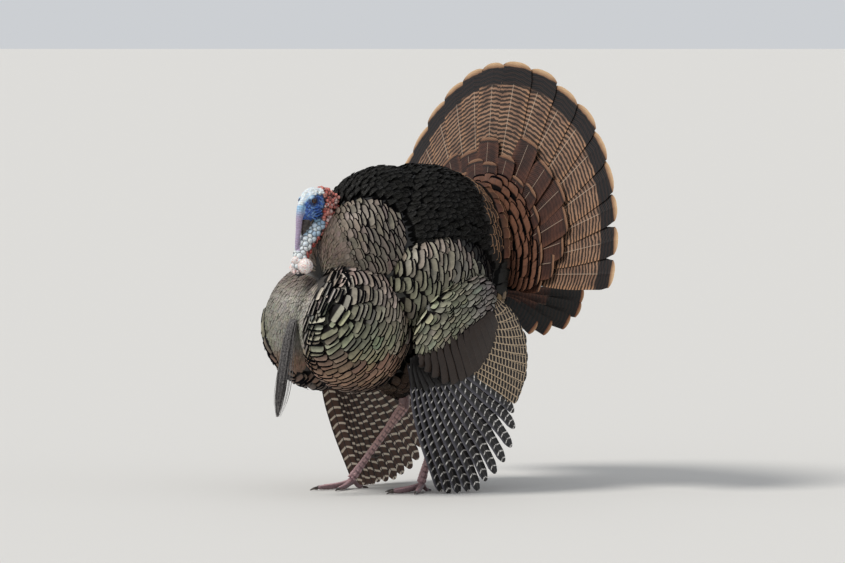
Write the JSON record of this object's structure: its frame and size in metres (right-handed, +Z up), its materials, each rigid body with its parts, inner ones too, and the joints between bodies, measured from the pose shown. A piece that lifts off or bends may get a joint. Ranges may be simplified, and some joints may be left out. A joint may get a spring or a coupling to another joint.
{
  "type": "wild turkey gobbler model",
  "caption": "Life-size still model of a strutting wild turkey gobbler with fanned tail and drooped wings, standing on its feet for display.",
  "frame": {"origin": "on the floor, under the middle of the bird's bounding box", "axes": "+Z up, -Y forward (the way the breast faces), +X towards the bird's left"},
  "size_m": [0.7734, 0.753, 0.8532],
  "materials": {
    "plumage_black": "glossy black body feathers",
    "plumage_bronze": "bronze and grey-green body feathers with black edges",
    "plumage_barred": "dark flight feathers with white bars",
    "tail_chestnut": "chestnut tail feathers with fine dark bars, a black band and buff tips",
    "bare_skin_blue": "bare blue skin of the face",
    "bare_skin_red": "bare red warty skin of the neck",
    "bare_skin_pale": "smooth whitish skin of the snood and knobs",
    "horn": "dark horn of bill, claws and spurs",
    "leg_scales": "dull pinkish brown scaled legs",
    "beard_bristle": "coarse blackish bristles",
    "eye": "polished dark brown eye"
  },
  "bodies": {
    "root": {"trunk": "plumage_black", "breast_left": "plumage_bronze", "breast_right": "plumage_bronze", "neck_cushion_left": "plumage_bronze", "neck_cushion_right": "plumage_bronze", "shoulder_left": "plumage_bronze", "shoulder_right": "plumage_bronze", "wing_left": "plumage_bronze", "wing_right": "plumage_bronze", "primaries_left": "plumage_barred", "primaries_right": "plumage_barred", "secondaries_left": "plumage_barred", "secondaries_right": "plumage_barred", "thigh_left": "plumage_black", "thigh_right": "plumage_black", "shank_left": "leg_scales", "shank_right": "leg_scales", "spur_left": "horn", "spur_right": "horn", "foot_left": "leg_scales", "foot_right": "leg_scales", "claw_middle_left": "horn", "claw_inner_left": "horn", "claw_outer_left": "horn", "claw_hind_left": "horn", "claw_middle_right": "horn", "claw_inner_right": "horn", "claw_outer_right": "horn", "claw_hind_right": "horn", "neck": "bare_skin_red", "head": "bare_skin_blue", "bill_upper": "horn", "bill_lower": "horn", "snood": "bare_skin_pale", "eye_left": "eye", "eye_right": "eye", "caruncle_left": "bare_skin_pale", "caruncle_right": "bare_skin_pale", "caruncle_middle": "bare_skin_pale", "beard": "beard_bristle", "tail_left": "tail_chestnut", "tail_middle": "tail_chestnut", "tail_right": "tail_chestnut", "tail_coverts": "tail_chestnut", "tail_base": "plumage_black", "undertail_coverts": "plumage_black"}
  },
  "joints": []
}
